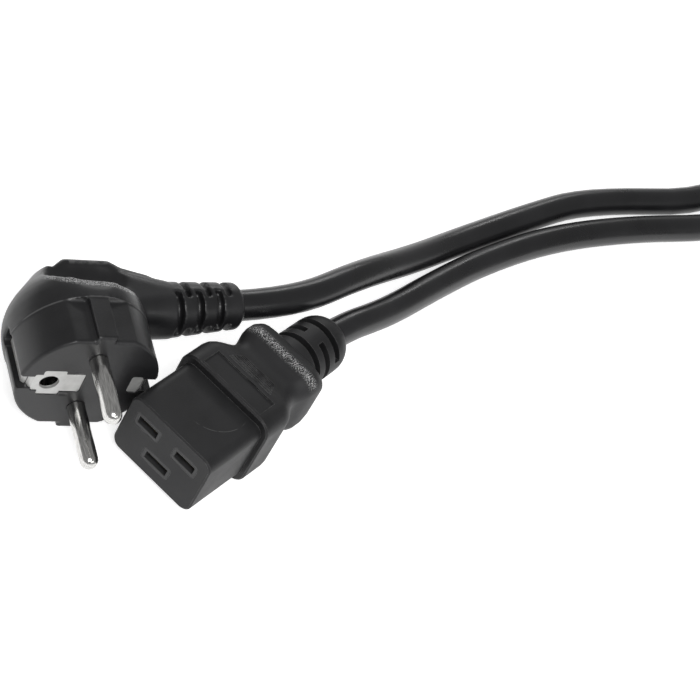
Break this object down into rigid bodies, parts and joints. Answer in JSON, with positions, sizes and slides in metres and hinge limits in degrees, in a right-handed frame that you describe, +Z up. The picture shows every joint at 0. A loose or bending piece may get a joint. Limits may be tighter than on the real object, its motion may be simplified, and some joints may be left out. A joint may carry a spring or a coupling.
{
  "type": "c19 power connector",
  "caption": "Moulded C19 socket connector on a flexible black cord, with a moulded angled earthed plug with round pins at the cord's far end.",
  "frame": {"origin": "on the surface that the cord set lies on, under the middle of the connector, which is measured without its cord and plug", "axes": "+X out of the connector's mating face, +Y from the line slot to the neutral slot, +Z up from the surface"},
  "size_m": [0.4767, 0.1136, 0.0372],
  "materials": {
    "overmould_pvc": "satin moulded PVC",
    "cord_pvc": "glossy extruded PVC",
    "carrier_plastic": "matte glass-filled plastic",
    "tie_pvc": "soft matte strip",
    "nickel_plate": "bright nickel plate",
    "plated_steel": "bright plated strip",
    "contact_brass": "rolled strip",
    "copper": "bare stranded copper",
    "brown_insulation": "soft insulation",
    "blue_insulation": "soft insulation",
    "green_yellow_insulation": "soft insulation"
  },
  "bodies": {
    "root": {"coil_tie": "tie_pvc", "connector_earth_core": "green_yellow_insulation", "connector_earth_strands": "copper", "connector_jacket": "cord_pvc", "connector_line_core": "brown_insulation", "connector_line_strands": "copper", "connector_neutral_core": "blue_insulation", "connector_neutral_strands": "copper", "connector_shell": "overmould_pvc", "contact_carrier": "carrier_plastic", "cord_coil": "cord_pvc", "cord_from_connector": "cord_pvc", "cord_from_plug": "cord_pvc", "earth_contact": "contact_brass", "earth_socket": "plated_steel", "earth_strap": "plated_steel", "line_contact": "contact_brass", "line_pin": "nickel_plate", "neutral_contact": "contact_brass", "neutral_pin": "nickel_plate", "pin_bridge": "carrier_plastic", "plug_earth_core": "green_yellow_insulation", "plug_earth_strands": "copper", "plug_jacket": "cord_pvc", "plug_line_core": "brown_insulation", "plug_line_strands": "copper", "plug_neutral_core": "blue_insulation", "plug_neutral_strands": "copper", "plug_shell": "overmould_pvc"}
  },
  "joints": []
}
